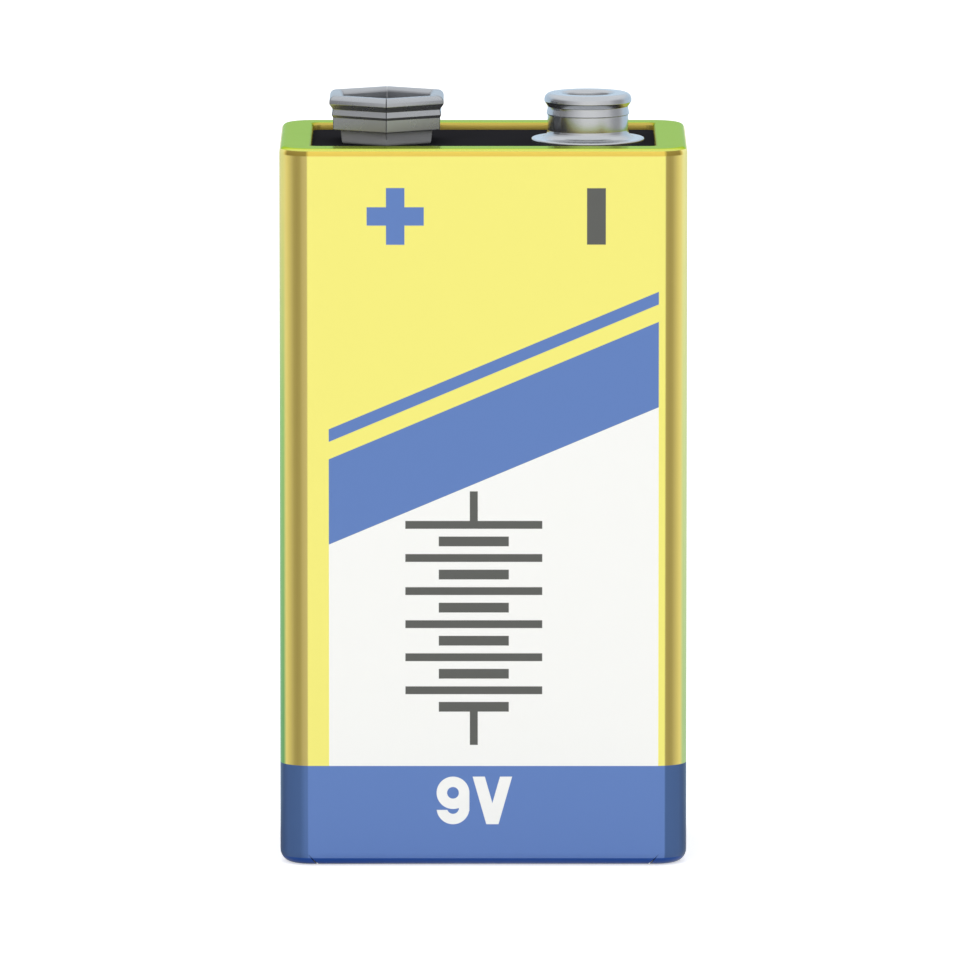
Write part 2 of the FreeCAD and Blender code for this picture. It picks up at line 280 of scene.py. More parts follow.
def outline(corners, steps=6):
    # corners are (across, up) or (across, up, radius)
    points = []
    for i, corner in enumerate(corners):
        if len(corner) == 2:
            points.append(corner)
            continue
        before, after = corners[i - 1][:2], corners[(i + 1) % len(corners)][:2]
        points += arcPoints(corner[:2], before, after, corner[2], steps)
    return points


def supported(points, reach=0.03):
    # extra points close to both ends of each longer run keep the smooth shading inside the bends
    result = []
    for i, point in enumerate(points):
        here, following = Vector(point), Vector(points[(i + 1) % len(points)])
        result.append(tuple(here))
        gap = following - here
        if gap.length > 4 * reach:
            step = gap.normalized() * reach
            result += [tuple(here + step), tuple(following - step)]
    return result


def lathe(name, corners, middle, base, steps=96):
    # a closed outline turned about an upright axis
    profile = supported(outline(corners))
    points, faces = [], []
    for i, (radius, z) in enumerate(profile):
        ring, following = i * steps, (i + 1) % len(profile) * steps
        for k in range(steps):
            turn = 2 * math.pi * k / steps
            x, y = radius * math.cos(turn), radius * math.sin(turn)
            points.append((middle[0] + x, middle[1] + y, base + z))
            n = (k + 1) % steps
            faces.append((ring + k, ring + n, following + n, following + k))
    return smoothMesh(name, points, faces)


def middleOf(node):
    low, high = (Vector(corner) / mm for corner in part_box(node))
    return (low + high) / 2


# places and sizes read from the frame
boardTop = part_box("terminal_board")[1][2] / mm
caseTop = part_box("jacket")[1][2] / mm
crownMiddle = middleOf("snap_crown")
studMiddle = middleOf("snap_stud")
caseSize = [(b - a) / mm for a, b in zip(*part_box("jacket"))]


# the jacket: one lapped sheet, rolled in at the foot and folded over and down at the top
jacket = {
    "sheet": 0.25,
    "corner": 2.0,             # seen from above
    "footRoll": 0.8,           # radius of the bend into the lip
    "topRoll": 0.4,
    "footLip": 1.6,            # from the outside of the case to the end of the lip
    "topLip": 2.0,
    "footCorner": 1.0,         # corners of the openings that the lips leave
    "rimCorner": 0.5,
    "hemRoll": 0.2,            # bend from the top lip down to the board
    "seam": 0.15,
    "seamAtLip": 0.03,         # the seam is all but shut along the fold and the lip
    "lipSeamBelow": 0.6,       # from this far under the top
    "lap": 3.0,                # width of the strip behind the seam
    "lapLow": 1.7,             # where it starts over the foot, and ends under the board's top
    "lapBelowBoard": 2.1,
    "cornerSteps": 16,
    "rollSteps": 8,
    "reach": 0.04,             # how close the flats' own points lie to each bend
    "reliefRise": 0.75,
    "reliefRun": 0.7,
    "reliefShift": 0.25,
    "reliefWidth": 0.16,
    "reliefSpare": (0.2, 0.5, 1.0),    # how far its cutter reaches past the lip: inwards, outwards, down
}


# finishes
# the print's inks, and the colours of painted shade along the fold and the foot
inksAndPaintedShade = {
    "yellow": fromScreen(252, 244, 132),
    # painted shade along the rounded fold, and darker still at its corners
    "foldShadeGold": fromScreen(236, 205, 92),
    "foldCornerShade": fromScreen(150, 128, 56),
    "blue": fromScreen(102, 133, 197),
    # painted shade along the foot's bend
    "footShadeBlue": fromScreen(32, 76, 158),
    "white": fromScreen(254, 254, 252),
    "grey": fromScreen(99, 99, 99),
    "hem": fromScreen(206, 182, 88),
    "lip": fromScreen(222, 228, 112),
    "lipEdge": fromScreen(181, 218, 71),
}

# painted shade and painted reflection over the print round a vertical corner, from the flat face to the
# narrow side: darker over the first half of the turn, lighter again towards the side
cornerPaintedShading = [
    (0.14, fromScreen(202, 184, 111)),
    (0.27, fromScreen(191, 173, 103)),
    (0.36, fromScreen(170, 152, 82)),
    (0.45, fromScreen(166, 147, 80)),
    (0.53, fromScreen(175, 157, 85)),
    (0.60, fromScreen(198, 179, 102)),
    (0.68, fromScreen(221, 202, 111)),
    (0.76, fromScreen(241, 221, 124)),
    (0.86, fromScreen(248, 234, 144)),
]
# painted shade round the vertical corners of the blue base band
bandCornerPaintedShade = [
    (0.20, fromScreen(86, 115, 171)),
    (0.36, fromScreen(73, 100, 150)),
    (0.75, fromScreen(73, 100, 150)),
    (0.90, fromScreen(58, 84, 132)),
]

# the narrow sides, from the band up to the lip: green print under a painted sheen, which lightens it
# towards the top, and paler on the right side than on the left
leftSideInkAndSheen = [
    (0.20, fromScreen(112, 178, 106)),
    (0.62, fromScreen(159, 207, 116)),
    (0.92, fromScreen(238, 228, 132)),
]
rightSideInkAndSheen = [
    (0.20, fromScreen(186, 216, 144)),
    (0.62, fromScreen(226, 236, 156)),
    (0.92, fromScreen(252, 244, 156)),
]

label = {
    "bandTop": 6.36,            # top of the blue base band
    "footShadeTop": 0.47,            # its darker strip: painted shade along the foot's bend
    "panelLow": -9.7,           # white panel, left and right edge
    "panelHigh": 11.0,
    "slopeStart": 24.5,         # height of the panel's slanted top edge in the middle
    "slope": 0.42,
    "stripe": 5.4,              # the blue stripe along that edge, measured upright
    "thinGap": 1.1,             # gap and height of the thin stripe over it
    "thinStripe": 0.8,
    "plus": (-5.52, 41.17),     # middles of the two marks, across and up
    "plusSize": 3.58,
    "plusArm": 1.16,
    "minus": (7.08, 41.17),
    "minusSize": (1.18, 3.56),
    "symbolX": -0.6,            # battery symbol, long and short plates in turn
    "symbolLow": 9.6,
    "symbolPitch": 2.1,
    "symbolPlates": 6,
    "longPlate": (8.6, 0.5),
    "shortPlate": (4.4, 0.62),
    "leadWidth": 0.5,
    "lowLead": 1.9,             # how far the leads reach past the plates
    "highLead": 1.6,
    "digitX": -1.91,
    "digitTop": 5.68,
    "digitHeight": 3.03,
    "digitRing": 0.7,           # radius of its bowls, to the middle of the stroke
    "digitGap": 0.12,           # from its upper bowl to the end of its hook
    "letterX": 0.57,
    "letterSpread": 0.86,       # half the width of the V at its top, between the middles of its arms
    "letterArm": 0.58,          # half an arm's width, as a share of the stroke
    "stroke": 0.66,
    "foldShadeDepth": 0.45,           # under the top: where the darker gold painted along the fold starts, painted shade of the bend
    "lipLine": 0.15,            # under the top: where the bare, lacquered lips start
    "hemDepth": 2.0,            # under the top: how far down the hem the tin shows
    "hemEdge": 0.12,            # from the end of the lip back to where its tone changes to the hem's
}

# where the painted shade of a corner and the tones of a narrow side start, as the sine of the turn from the
# long face; the painted corner shade starts later on the right than on the left
cornerTurn = {"start": 0.215, "rightShadeDelay": 0.095, "side": 0.84, "foldCornerShadeEnd": 0.8}

# the bare tin under the lacquer: how much of its shine comes through, and its roughness
tinLook = {"lips": 0.88, "hem": 0.55, "roughness": 0.17}


def ratingMask(across, up):
    # a plain nine and a plain V
    stroke, top = label["stroke"], label["digitTop"]
    low = top - label["digitHeight"]
    ringRadius = label["digitRing"]
    ringZ = top - ringRadius - stroke / 2
    dx = across - label["digitX"]
    dz = up - ringZ
    ring = 1 - above(abs((dx * dx + dz * dz).root() - ringRadius), stroke / 2)
    stemX = label["digitX"] + ringRadius
    hookZ = low + ringRadius + stroke / 2
    hookEnd = hookZ - label["digitGap"]
    stemLow = hookEnd - 2 * edgeSoftness
    stem = box(across, up, (stemX, (ringZ + stemLow) / 2), (stroke, ringZ - stemLow))
    hz = up - hookZ
    bowl = 1 - above(abs((dx * dx + hz * hz).root() - ringRadius), stroke / 2)
    hook = bowl * (1 - above(up, hookEnd))
    nine = ring.most(stem).most(hook)
    reach = abs(across - label["letterX"])
    along = (up - low) / label["digitHeight"]
    arm = 1 - above(abs(reach - along * label["letterSpread"]), stroke * label["letterArm"])
    letter = arm * inside(up, low, top)
    return nine.most(letter)


def symbolMask(across, up):
    # six cells in a row as a circuit diagram draws them, with a lead at each end
    low, pitch = label["symbolLow"], label["symbolPitch"]
    high = low + pitch * label["symbolPlates"]
    phase = (up - low).wrapped(pitch)
    reach = abs(across - label["symbolX"])

    def plates(size, place):
        width, height = size
        return inside(phase, place - height / 2, place + height / 2) * (1 - above(reach, width / 2))

    quarter = pitch / 4
    bars = plates(label["longPlate"], 3 * quarter).most(plates(label["shortPlate"], quarter))
    lower = inside(up, low - label["lowLead"], low + quarter)
    upper = inside(up, high - quarter, high + label["highLead"])
    leads = (1 - above(reach, label["leadWidth"] / 2)) * lower.most(upper)
    return (bars * inside(up, low, high)).most(leads)


# the printed sheet, with painted shade and reflection round its corners, painted shade along the fold and
# the foot, and a painted sheen on the narrow sides
def printedSteelAndPaintedShade():
    steel = Finish("printedSteelAndPaintedShade")
    x, y, z = steel.millimetres()
    width, depth, height = caseSize
    facing = y.sign()
    across = x * facing * -1                     # reads the same way on the front and the back
    # 0 on the long faces, 1 on the narrow sides, and between them the sine of the corner's turn
    dx = (abs(x) - (width / 2 - jacket["corner"])).most(0)
    dy = (abs(y) - (depth / 2 - jacket["corner"])).most(0)
    turn = dx / (dx * dx + dy * dy).root().most(0.001)
    # the painted corner shade starts later on the right than on the left
    start = x.sign() * cornerTurn["rightShadeDelay"] + cornerTurn["start"]
    corner = above(turn, start, 0.04)
    side = above(turn, cornerTurn["side"], 0.08)
    # the printed faces
    slant = z - across * label["slope"]
    within = inside(across, label["panelLow"], label["panelHigh"])
    stripeTop = label["slopeStart"] + label["stripe"]
    thinLow = stripeTop + label["thinGap"]
    panel = within * (1 - above(slant, label["slopeStart"]))
    wide = inside(slant, label["slopeStart"], stripeTop)
    stripes = wide.most(inside(slant, thinLow, thinLow + label["thinStripe"]))
    colour = steel.mix(panel, inksAndPaintedShade["yellow"], inksAndPaintedShade["white"])
    colour = steel.mix(stripes * within, colour, inksAndPaintedShade["blue"])
    colour = steel.mix(symbolMask(across, z), colour, inksAndPaintedShade["grey"])
    size, arm = label["plusSize"], label["plusArm"]
    plus = box(x, z, label["plus"], (size, arm)).most(box(x, z, label["plus"], (arm, size)))
    colour = steel.mix(plus, colour, inksAndPaintedShade["blue"])
    colour = steel.mix(box(x, z, label["minus"], label["minusSize"]), colour, inksAndPaintedShade["grey"])
    # corners, with painted shade and painted reflection, and narrow sides, green print under a painted
    # sheen
    colour = steel.mix(corner, colour, steel.ramp(turn, cornerPaintedShading))
    # painted sheen over the narrow sides' green print: lighter towards the top, paler on the right
    left, right = steel.ramp(z / height, leftSideInkAndSheen), steel.ramp(z / height, rightSideInkAndSheen)
    colour = steel.mix(side, colour, steel.mix(above(x, 0), left, right))
    # the base band, all round, with painted shade at its corners and along the foot's bend
    blues = steel.mix(corner, inksAndPaintedShade["blue"], steel.ramp(turn, bandCornerPaintedShade))
    # painted shade: a darker blue where the sheet bends under at the foot
    blues = steel.mix(1 - above(z, label["footShadeTop"], 0.06), blues, inksAndPaintedShade["footShadeBlue"])
    colour = steel.mix(1 - above(z, label["bandTop"]), colour, blues)
    colour = steel.mix(ratingMask(across, z) * (1 - corner), colour, inksAndPaintedShade["white"])
    # a darker gold painted along the fold, painted shade of the bend and darker still at the corners, then
    # clear lacquer on bare tin over the lips and down the hem
    foldShadeGold = steel.mix(inside(turn, start, cornerTurn["foldCornerShadeEnd"], 0.1), inksAndPaintedShade["foldShadeGold"], inksAndPaintedShade["foldCornerShade"])
    colour = steel.mix(above(z, height - label["foldShadeDepth"], 0.06) * (1 - side), colour, foldShadeGold)
    lips = above(z, height - label["lipLine"], 0.04)
    colour = steel.mix(lips, colour, inksAndPaintedShade["lip"])
    rim = jacket["topLip"] - label["hemEdge"]
    opening = (1 - above(abs(x), width / 2 - rim)) * (1 - above(abs(y), depth / 2 - rim))
    hem = opening * above(z, height - label["hemDepth"], 0.1)
    colour = steel.mix(hem, colour, inksAndPaintedShade["hem"])
    grain = steel.noise(900, 3)
    peel = steel.noise(420, 1) * (1 - lips)
    tin = (lips * tinLook["lips"]).most(hem * tinLook["hem"])
    return steel.surface(
        Base_Color=colour,
        Metallic=(corner * 0.1).most(tin),
        Roughness=(grain * 0.08 + 0.3) * (1 - tin) + tin * tinLook["roughness"],
        Coat_Weight=(1 - tin) * 0.12,
        Coat_Roughness=0.08,
        Specular_IOR_Level=0.2,
        Specular_Tint=inksAndPaintedShade["lipEdge"],
        Normal=steel.bump(peel, 0.04, 0.0002),
    )


def blackBoard(name, level):
    board = Finish(name)
    grain = board.noise(1600, 4)
    cloud = board.noise(160, 2)
    dark = fromScreen(level, level, level + 3)
    pale = fromScreen(level + 9, level + 9, level + 13)
    return board.surface(
        Base_Color=board.mix(cloud, dark, pale),
        Roughness=0.6 + cloud * 0.1,
        Normal=board.bump(grain, 0.12, 0.0001),
        Specular_IOR_Level=0.0,
    )


def plate(name, light, dark, roughness, polish=1.0, stem=None):
    metal = Finish(name)
    cloud = metal.noise(300, 3)
    fine = metal.noise(2600, 2)
    metallic, rough = polish, cloud * 0.08 + roughness
    if stem:
        # dull under the skirt, up to the given height over the board
        lessPolish, moreRoughness = 0.45, 0.3
        z = metal.millimetres()[2]
        dull = 1 - above(z, boardTop + stem, 0.06)
        metallic, rough = polish - dull * lessPolish, rough + dull * moreRoughness
    return metal.surface(
        Base_Color=metal.mix(cloud, light, dark),
        Metallic=metallic,
        Roughness=rough,
        Normal=metal.bump(fine, 0.03, 0.00004),
    )


def card(name, light, dark, roughness=0.8):
    fibre = Finish(name)
    grain = fibre.noise(1200, 5)
    return fibre.surface(
        Base_Color=fibre.mix(grain, light, dark),
        Roughness=roughness,
        Normal=fibre.bump(grain, 0.3, 0.0002),
    )


finishes = {
    "printedSteelAndPaintedShade": printedSteelAndPaintedShade(),
    "board": blackBoard("board", 35),
    "basePlate": blackBoard("basePlate", 34),
    "studPlate": plate("studPlate", (0.6, 0.61, 0.63), (0.52, 0.53, 0.55), 0.12, 0.95),
    "crownPlate": plate("crownPlate", (0.5, 0.51, 0.53), (0.43, 0.44, 0.46), 0.24, 0.86, stem=0.9),
    "rivet": plate("rivet", (0.72, 0.72, 0.72), (0.6, 0.6, 0.6), 0.2),
    "nickelStrip": plate("nickelStrip", (0.66, 0.63, 0.58), (0.56, 0.54, 0.5), 0.3),
    "cellCan": plate("cellCan", (0.6, 0.6, 0.6), (0.5, 0.5, 0.5), 0.35),
    "card": card("card", fromScreen(150, 118, 84), fromScreen(128, 98, 66)),
    "wrap": card("wrap", fromScreen(226, 224, 214), fromScreen(212, 210, 198), 0.4),
}
print("finishes made")


def jacketProfile():
    # matching outer and inner points as (inset, height), from the foot's lip up and down again to the board
    s, steps, reach = jacket["sheet"], jacket["rollSteps"], jacket["reach"]
    top, roll, lip, hem = caseTop, jacket["topRoll"], jacket["topLip"], jacket["hemRoll"]
    foot = jacket["footRoll"]
    outer = [(jacket["footLip"], 0), (foot, 0)]
    inner = [(jacket["footLip"], s), (foot, s)]
    for i in range(1, steps + 1):
        a = math.pi / 2 * i / steps
        outer.append((foot - foot * math.sin(a), foot - foot * math.cos(a)))
        inner.append((foot - (foot - s) * math.sin(a), foot - (foot - s) * math.cos(a)))
    for z in (foot + reach, label["bandTop"], top / 2, top - roll - reach):
        outer.append((0, z))
        inner.append((s, z))
    for i in range(steps + 1):
        a = math.pi / 2 * i / steps
        outer.append((roll - roll * math.cos(a), top - roll + roll * math.sin(a)))
        inner.append((roll - (roll - s) * math.cos(a), top - roll + (roll - s) * math.sin(a)))
    outer += [(roll + reach, top), (lip - hem - reach, top)]
    inner += [(roll + reach, top - s), (lip - s - 2 * reach, top - s)]
    for i in range(steps // 2 + 1):
        a = math.pi / 2 * i / (steps // 2)
        outer.append((lip - hem + hem * math.sin(a), top - hem + hem * math.cos(a)))
        inner.append((lip - s - reach + reach * math.sin(a), top - s - reach + reach * math.cos(a)))
    outer.append((lip, boardTop))
    inner.append((lip - s, boardTop))
    return outer, inner


def cornerAt(inset, z):
    # the plan radius shrinks with the inset, and more slowly along the lips
    corner = jacket["corner"]
    if z > caseTop / 2:
        start, end, radius = jacket["topRoll"], jacket["topLip"], jacket["rimCorner"]
    else:
        start, end, radius = jacket["footRoll"], jacket["footLip"], jacket["footCorner"]
    if inset <= start:
        return corner - inset
    share = min((inset - start) / (end - start), 1)
    return (corner - start) * (1 - share) + radius * share


def jacketRing(inset, z):
    # once round the case, from one edge of the seam to the other
    width, depth = caseSize[0] / 2 - inset, caseSize[1] / 2 - inset
    radius = cornerAt(inset, z)
    steps, reach = jacket["cornerSteps"], jacket["reach"]
    gap = jacket["seamAtLip" if z > caseTop - jacket["lipSeamBelow"] else "seam"] / 2
    x, y = width - radius, depth - radius
    points = [(-width, -gap), (-width, -y / 2), (-width, -y + reach)]
    acrossPlaces = (-x + reach, -x / 2, 0, x / 2, x - reach)
    deepPlaces = (-y + reach, -y / 2, 0, y / 2, y - reach)
    sides = [
        ((-x, -y), 180, [(place, -depth) for place in acrossPlaces]),
        ((x, -y), 270, [(width, place) for place in deepPlaces]),
        ((x, y), 0, [(place, depth) for place in acrossPlaces[::-1]]),
        ((-x, y), 90, [(-width, y - reach), (-width, y / 2), (-width, gap)]),
    ]
    for (cx, cy), start, straight in sides:
        for k in range(steps + 1):
            a = math.radians(start + 90 * k / steps)
            points.append((cx + radius * math.cos(a), cy + radius * math.sin(a)))
        points += straight
    return [(px, py, z) for px, py in points]


def makeJacket():
    outer, inner = jacketProfile()
    loop = outer + inner[::-1]
    rings = [jacketRing(inset, z) for inset, z in loop]
    across = len(rings[0])
    points = [p for ring in rings for p in ring]
    faces = []
    count = len(loop)
    for i in range(count):
        j = (i + 1) % count
        for k in range(across - 1):
            faces.append((i * across + k, i * across + k + 1, j * across + k + 1, j * across + k))
    half = len(outer)
    for i in range(half - 1):
        a, b, c, d = i, i + 1, count - 2 - i, count - 1 - i
        faces.append(tuple(n * across for n in (a, b, c, d)))
        faces.append(tuple(n * across + across - 1 for n in (d, c, b, a)))
    skin = addObject("jacketSkin", smoothMesh("jacketSkin", points, faces), finishes["printedSteelAndPaintedShade"])
    cutReliefs(skin)
    addSeamLap(skin)
    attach(skin, "root")
    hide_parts("jacket")


def cutReliefs(skin):
    # slanting slits where the foot's lips meet at the corners
    width, depth = caseSize[0], caseSize[1]
    rise, run, slit = jacket["reliefRise"], jacket["reliefRun"], jacket["reliefWidth"]
    inwards, out, down = jacket["reliefSpare"]
    points, faces = [], []
    for across, along, quarter in ((width, depth, False), (depth, width, True)):
        tip = across / 2 - jacket["corner"] + jacket["reliefShift"]
        start = tip - run
        section = [(start, -down), (start + slit, -down), (start + slit, 0), (tip, rise), (start, 0)]
        for mirror in (1, -1):
            for end in (1, -1):
                first = len(points)
                for depthAt in (along / 2 - jacket["footLip"] - inwards, along / 2 + out):
                    for a, z in section:
                        x, y = a * mirror, depthAt * end
                        points.append((y, x, z) if quarter else (x, y, z))
                count = len(section)
                ring = list(range(count))
                faces.append([first + k for k in ring])
                faces.append([first + count + k for k in ring[::-1]])
                for k in ring:
                    n = (k + 1) % count
                    faces.append([first + k, first + count + k, first + count + n, first + n])
    cutter = addObject("reliefCutter", plainMesh("reliefCutter", points, faces))
    outwards(cutter.data)
    knife = skin.modifiers.new("reliefs", "BOOLEAN")
    knife.operation = "DIFFERENCE"
    knife.solver = "EXACT"
    knife.object = cutter
    outwards(skin.data)
    applied(skin)
    bpy.data.objects.remove(cutter)


def outwards(mesh):
    work = bmesh.new()
    work.from_mesh(mesh)
    bmesh.ops.recalc_face_normals(work, faces=work.faces)
    work.to_mesh(mesh)
    work.free()


def addSeamLap(skin):
    # the far edge of the sheet lies behind the seam
    inner = -caseSize[0] / 2 + jacket["sheet"]
    low, high = jacket["lapLow"], boardTop - jacket["lapBelowBoard"]
    size = Vector((jacket["sheet"], jacket["lap"], high - low)) * mm
    middle = Vector((inner + jacket["sheet"] / 2, 0, (low + high) / 2)) * mm
    work = bmesh.new()
    work.from_mesh(skin.data)
    bmesh.ops.create_cube(work, size=1, matrix=Matrix.Translation(middle) @ Matrix.Diagonal(size).to_4x4())
    work.to_mesh(skin.data)
    work.free()
    smoothOver(skin.data)


makeJacket()
print("jacket made")


# the snaps
crown = {
    "petals": 6,
    "sheet": 0.25,
    "width": 7.2,              # across flats, like the five below
    "band": 6.9,
    "skirt": 6.74,
    "base": 5.56,
    "throat": 5.44,
    "socket": 5.66,
    "height": 3.1,             # over the board: the top, and then further down
    "beadAt": 2.6,
    "throatAt": 2.5,
    "waistAt": 2.23,
    "bandAt": 1.88,
    "skirtAt": 0.93,
    "joggle": 0.16,            # height of the step from the band in to the skirt
    "bandTilt": 0.08,          # how much the band leans in towards its top
    "beadLip": 0.02,           # how much lower the bead reaches outside than inside
    "slit": 0.06,              # between two petals, on the outside and on the inside
    "slitInside": 0.006,
    "slitFloor": 0.45,
    "hole": 2.0,
    "edgeRound": 0.035,
    "weld": 0.002,             # points of two petals that lie closer become one
}

stud = {
    "sheet": 0.25,
    "flange": 7.15,            # diameters
    "neck": 5.1,
    "head": 5.5,
    "dimple": 3.1,
    "hole": 2.0,
    "height": 3.1,
    "headDepth": 0.54,
    "headRound": 0.4,
    "step": 0.3,               # from the neck out to the head
    "flare": 0.5,              # from the flange up into the neck
    "dimpleDepth": 0.7,
    "dimpleRound": 0.25,
    "bandAt": 1.74,            # the thin raised band round the neck
    "bandHeight": 0.38,
    "bandStep": 0.07,
}

rivet = {
    "shank": 1.9,              # diameters
    "bore": 1.1,
    "head": 2.8,
    "headThick": 0.3,
    "headRound": 0.16,
    "footThick": 0.25,
    "round": 0.1,
}


def makeStud():
    s = stud["sheet"]
    flange, neck, head = stud["flange"] / 2, stud["neck"] / 2, stud["head"] / 2
    dimple, hole = stud["dimple"] / 2, stud["hole"] / 2
    top = stud["height"]
    under = top - stud["headDepth"]
    band, bandTop = stud["bandAt"], stud["bandAt"] + stud["bandHeight"]
    step = stud["bandStep"]
    floor = top - stud["dimpleDepth"]
    corners = [
        (flange, 0), (flange, s, 0.1), (neck, s, stud["flare"]),
        (neck, band, 0.03), (neck + step, band + step / 2, 0.02), (neck, bandTop, 0.05),
        (neck, under - stud["step"], 0.05), (head, under, 0.08), (head, top, stud["headRound"]),
        (dimple, top, stud["dimpleRound"]), (dimple, floor, 0.12), (hole, floor),
        (hole, floor - s), (dimple + s, floor - s, 0.2), (dimple + s, top - s, 0.05),
        (neck - s, top - s, 0.1), (neck - s, 0),
    ]
    mesh = lathe("studSnap", corners, studMiddle, boardTop)
    piece = addObject("studSnap", mesh, finishes["studPlate"])
    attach(piece, "root")
    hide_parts("snap_stud")


def makeRivet(name, node, middle):
    low, high = (corner[2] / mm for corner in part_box(node))
    bore, shank, head = rivet["bore"] / 2, rivet["shank"] / 2, rivet["head"] / 2
    thick, r = rivet["headThick"], rivet["round"]
    length, foot = high - low, rivet["footThick"]
    corners = [
        (bore, 0, 0.05), (head, 0, r), (head, foot), (shank, foot), (shank, length - thick),
        (head, length - thick), (head, length, rivet["headRound"]), (bore, length, r),
    ]
    mesh = lathe(name, corners, middle, low, steps=64)
    piece = addObject(name, mesh, finishes["rivet"])
    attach(piece, "root")
    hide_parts(node)


def crownSection():
    # the two sides of the petal's sheet as (distance from the axis, height), from the hole outwards
    hole = crown["hole"] / 2
    base, socket, throat = crown["base"] / 2, crown["socket"] / 2, crown["throat"] / 2
    bead, band, skirt = crown["width"] / 2, crown["band"] / 2, crown["skirt"] / 2
    top, beadAt, throatAt, waistAt = crown["height"], crown["beadAt"], crown["throatAt"], crown["waistAt"]
    bandAt, skirtAt, floor = crown["bandAt"], crown["skirtAt"], crown["slitFloor"]
    joggleAt = bandAt - crown["joggle"]
    waist = band - crown["bandTilt"]
    s = crown["sheet"]
    over = [
        (hole, s), (socketWall(s), s, 0.12), (socketWall(floor), floor),
        (socket, waistAt, 0.4), (throat, throatAt, 0.35), (throat, top, 0.3),
        (bead, top, 0.4), (bead, beadAt - crown["beadLip"], 0.08), (waist, waistAt, 0.04),
        (band, bandAt, 0.05), (skirt, joggleAt, 0.05), (skirt, skirtAt, 0.05),
    ]
    under = [
        (hole, 0), (base, 0, 0.2), (socketWall(floor) + s, floor),
        (socket + s, waistAt, 0.3), (throat + s, throatAt, 0.15), (throat + s, top - s, 0.06),
        (bead - s, top - s, 0.15), (bead - s, beadAt, 0.08), (waist - s, waistAt, 0.04),
        (band - s, bandAt, 0.05), (skirt - s, joggleAt, 0.05), (skirt - s, skirtAt, 0.05),
    ]
    return over, under


def socketWall(z):
    # from the axis to the inside of the socket at a height over the board
    foot = crown["base"] / 2 - crown["sheet"]
    return foot + (crown["socket"] / 2 - foot) * min(z / crown["waistAt"], 1)


def petalMesh():
    over, under = crownSection()
    loop = supported(outline(over + under[::-1], steps=5))
    floor = crown["slitFloor"]
    half = math.pi / crown["petals"]
    points, faces = [], []

    def spread(a, z, slit):
        # the slit between two petals is all but shut on the inside and opens outwards
        wall = socketWall(z)
        reach = crown["sheet"] if z < crown["waistAt"] else crown["width"] / 2 - wall
        share = min(max((a - wall) / reach, 0), 1)
        gap = (crown["slitInside"] * (1 - share) + crown["slit"] * share) / 2 / math.cos(half)
        side = a * math.tan(half) - (gap if slit else 0)
        points.append((a, -side, z))
        points.append((a, side, z))
        return len(points) - 2

    # one row across the petal at each point, and two where the slit starts: the whole width and the slit's
    rows = []
    for a, z in loop:
        if abs(z - floor) < 1e-4:
            rows.append((spread(a, z, False), spread(a, z, True), "floor"))
        else:
            row = spread(a, z, z > floor)
            rows.append((row, row, "up" if z > floor else "down"))
    for a, b in zip(rows, rows[1:] + rows[:1]):
        upper = "up" in (a[2], b[2])
        first, second = (a[1], b[1]) if upper else (a[0], b[0])
        faces.append((first, first + 1, second + 1, second))
    raised = [r for r in rows if r[2] != "down"]
    faces.append([r[1] for r in raised])
    faces.append([r[1] + 1 for r in raised[::-1]])
    ledge = [r for r in rows if r[2] == "floor"]
    for side in (0, 1):
        faces.append([ledge[0][0] + side, ledge[1][0] + side, ledge[1][1] + side, ledge[0][1] + side])
    return plainMesh("petal", points, faces)


def makeCrown():
    petal = addObject("petal", petalMesh())
    holder = addObject("crownSnap", bpy.data.meshes.new("crownSnap"))
    tree = petalTree()
    spin = holder.modifiers.new("petals", "NODES")
    spin.node_group = tree
    ids = {item.name: item.identifier for item in tree.interface.items_tree if item.item_type == "SOCKET"}
    spin[ids["Petal"]] = petal
    spin[ids["Petals"]] = crown["petals"]
    spin[ids["Finish"]] = finishes["crownPlate"]
    applied(holder)
    outwards(holder.data)
    sharpAngle = 40
    rounding = holder.modifiers.new("edges", "BEVEL")
    rounding.width = crown["edgeRound"] * mm
    rounding.segments = 3
    rounding.limit_method = "ANGLE"
    rounding.angle_limit = math.radians(sharpAngle)
    rounding.use_clamp_overlap = True
    applied(holder, sharpAngle)
    holder.modifiers.new("facets", "WEIGHTED_NORMAL").keep_sharp = True
    applied(holder, None)
    bpy.data.objects.remove(petal)
    holder.data.transform(Matrix.Translation(Vector((crownMiddle.x, crownMiddle.y, boardTop)) * mm))
    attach(holder, "root")
    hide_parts("snap_crown")


def petalTree():
    # turns copies of one petal about the axis and welds them into one shell
    tree = bpy.data.node_groups.new("petalRing", "GeometryNodeTree")
    tree.interface.new_socket("Geometry", in_out="OUTPUT", socket_type="NodeSocketGeometry")
    for name, kind in (("Petal", "Object"), ("Petals", "Int"), ("Finish", "Material")):
        tree.interface.new_socket(name, in_out="INPUT", socket_type="NodeSocket" + kind)
    given = addNode(tree, "NodeGroupInput").outputs
    petal = addNode(tree, "GeometryNodeObjectInfo", Object=given["Petal"])
    line = addNode(
        tree, "GeometryNodeMeshLine", settings={"mode": "OFFSET"}, Count=given["Petals"], Offset=(0, 0, 0),
    )
    petals = Flow(tree, given["Petals"])
    index = Flow(tree, addNode(tree, "GeometryNodeInputIndex").outputs[0])
    turn = addNode(tree, "ShaderNodeCombineXYZ", Z=index * (2 * math.pi / petals))
    copies = addNode(
        tree,
        "GeometryNodeInstanceOnPoints",
        Points=line.outputs[0],
        Instance=petal.outputs["Geometry"],
        Rotation=turn.outputs[0],
    )
    real = addNode(tree, "GeometryNodeRealizeInstances", copies.outputs[0])
    weld = addNode(
        tree, "GeometryNodeMergeByDistance", Geometry=real.outputs[0], Distance=crown["weld"] * mm,
    )
    finish = addNode(tree, "GeometryNodeSetMaterial", Geometry=weld.outputs[0], Material=given["Finish"])
    addNode(tree, "NodeGroupOutput", finish.outputs[0])
    return tree


